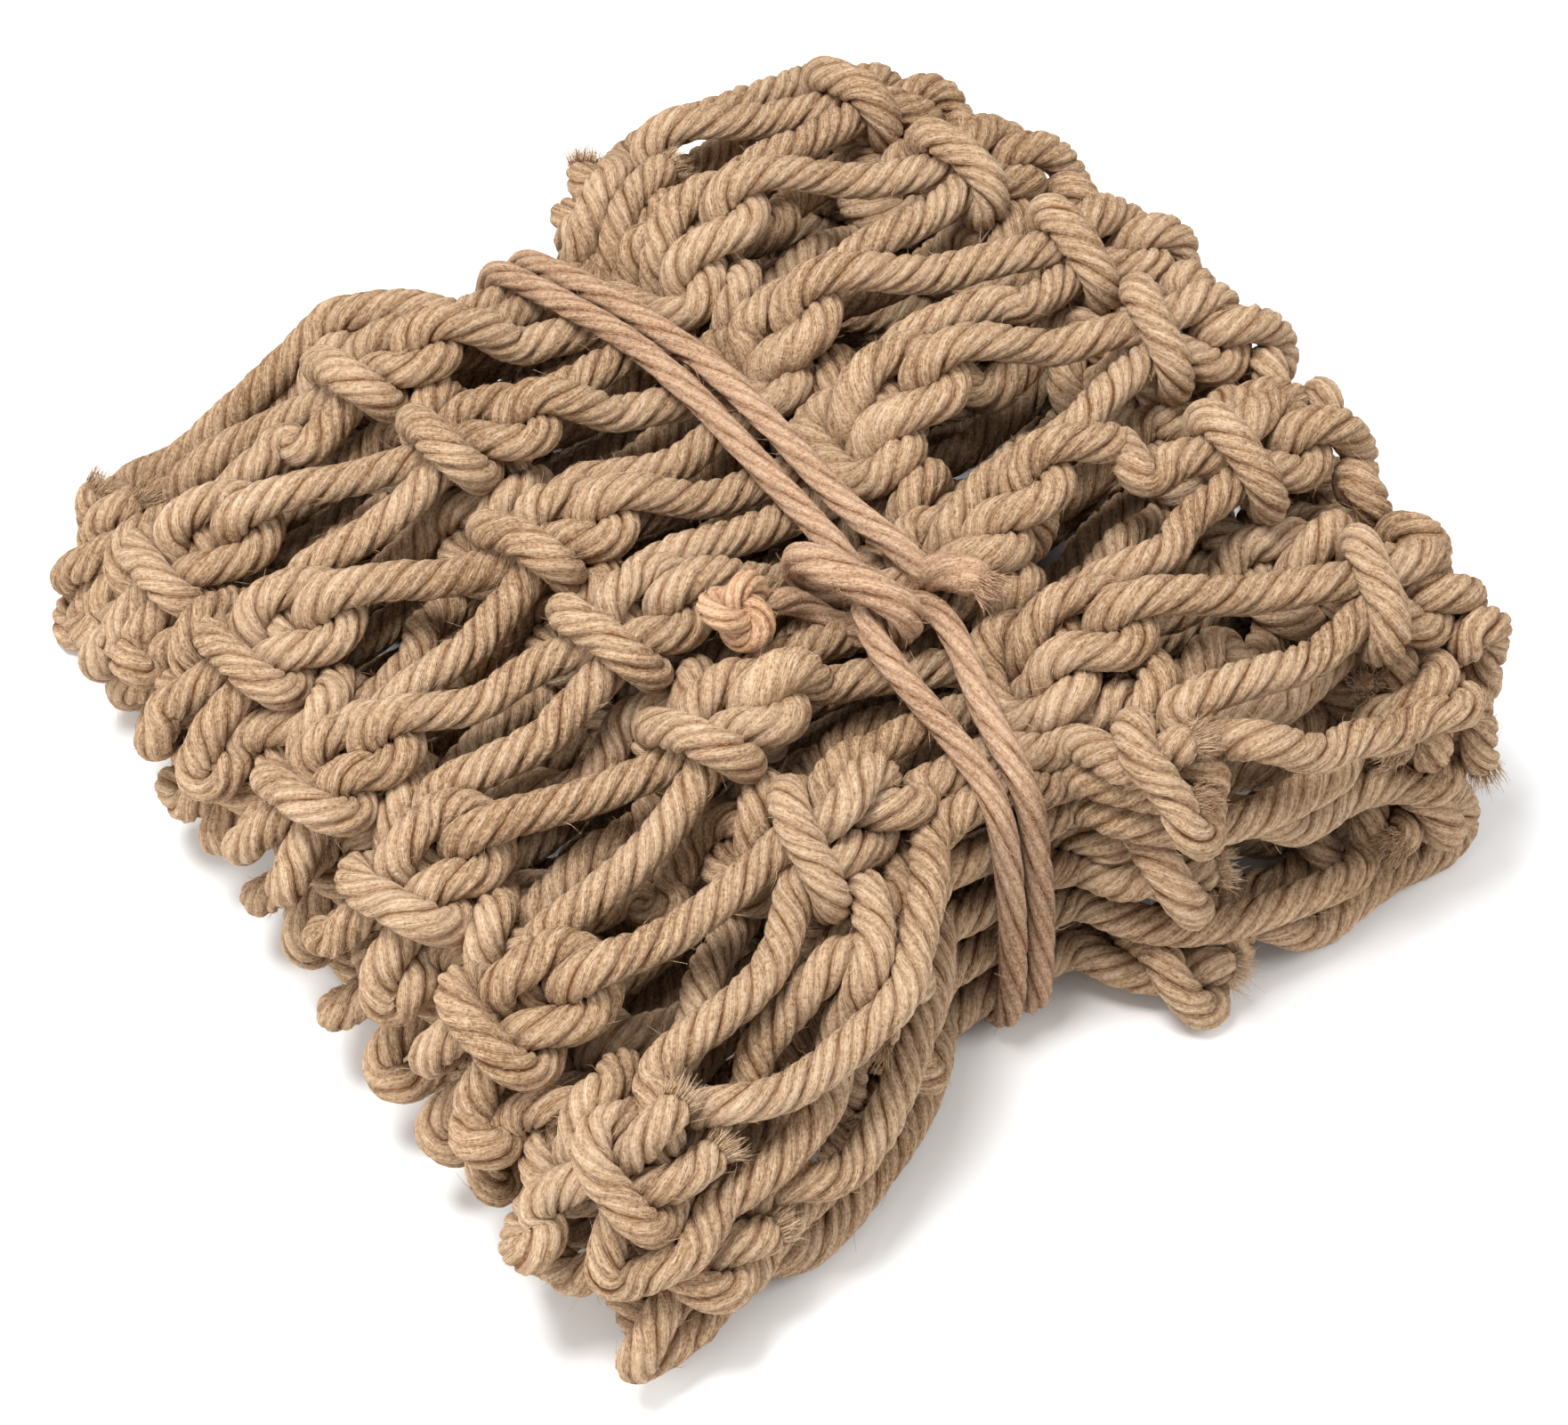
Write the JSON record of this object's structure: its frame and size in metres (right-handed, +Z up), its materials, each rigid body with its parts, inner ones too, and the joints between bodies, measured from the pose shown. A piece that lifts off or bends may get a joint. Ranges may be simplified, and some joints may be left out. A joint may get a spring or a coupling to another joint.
{
  "type": "rope hammock",
  "caption": "Hammock of knotted twisted rope net, folded in a zigzag into a square pack and tied round its waist with a thinner cord.",
  "frame": {"origin": "middle of the pack's box, on the ground it lies on", "axes": "+Z up, +Y along the tie cord, +X across the tie, from one lobe to the other"},
  "size_m": [0.2834, 0.3025, 0.1131],
  "materials": {
    "net_rope": "matte twisted natural fibre",
    "tie_rope": "matte twisted natural fibre"
  },
  "bodies": {
    "pack": {"mesh_cord_01": "net_rope", "mesh_cord_02": "net_rope", "mesh_cord_03": "net_rope", "mesh_cord_04": "net_rope", "mesh_cord_05": "net_rope", "mesh_cord_06": "net_rope", "mesh_cord_07": "net_rope", "mesh_cord_08": "net_rope", "mesh_cord_09": "net_rope", "mesh_cord_10": "net_rope", "mesh_cord_11": "net_rope", "mesh_cord_12": "net_rope", "mesh_cord_13": "net_rope", "mesh_cord_14": "net_rope", "mesh_cord_15": "net_rope", "mesh_cord_16": "net_rope", "mesh_cord_17": "net_rope", "mesh_cord_18": "net_rope", "mesh_cord_19": "net_rope", "tie_cord": "tie_rope", "tie_hitch": "tie_rope"},
    "tail": {"tie_tail": "tie_rope"}
  },
  "joints": [
    {"name": "tail_lift", "type": "hinge", "parent": "pack", "child": "tail", "pos_m": [-0.0194, -0.0378, 0.0946], "axis": [0, 1, 0], "range_deg": [0, 50]}
  ]
}
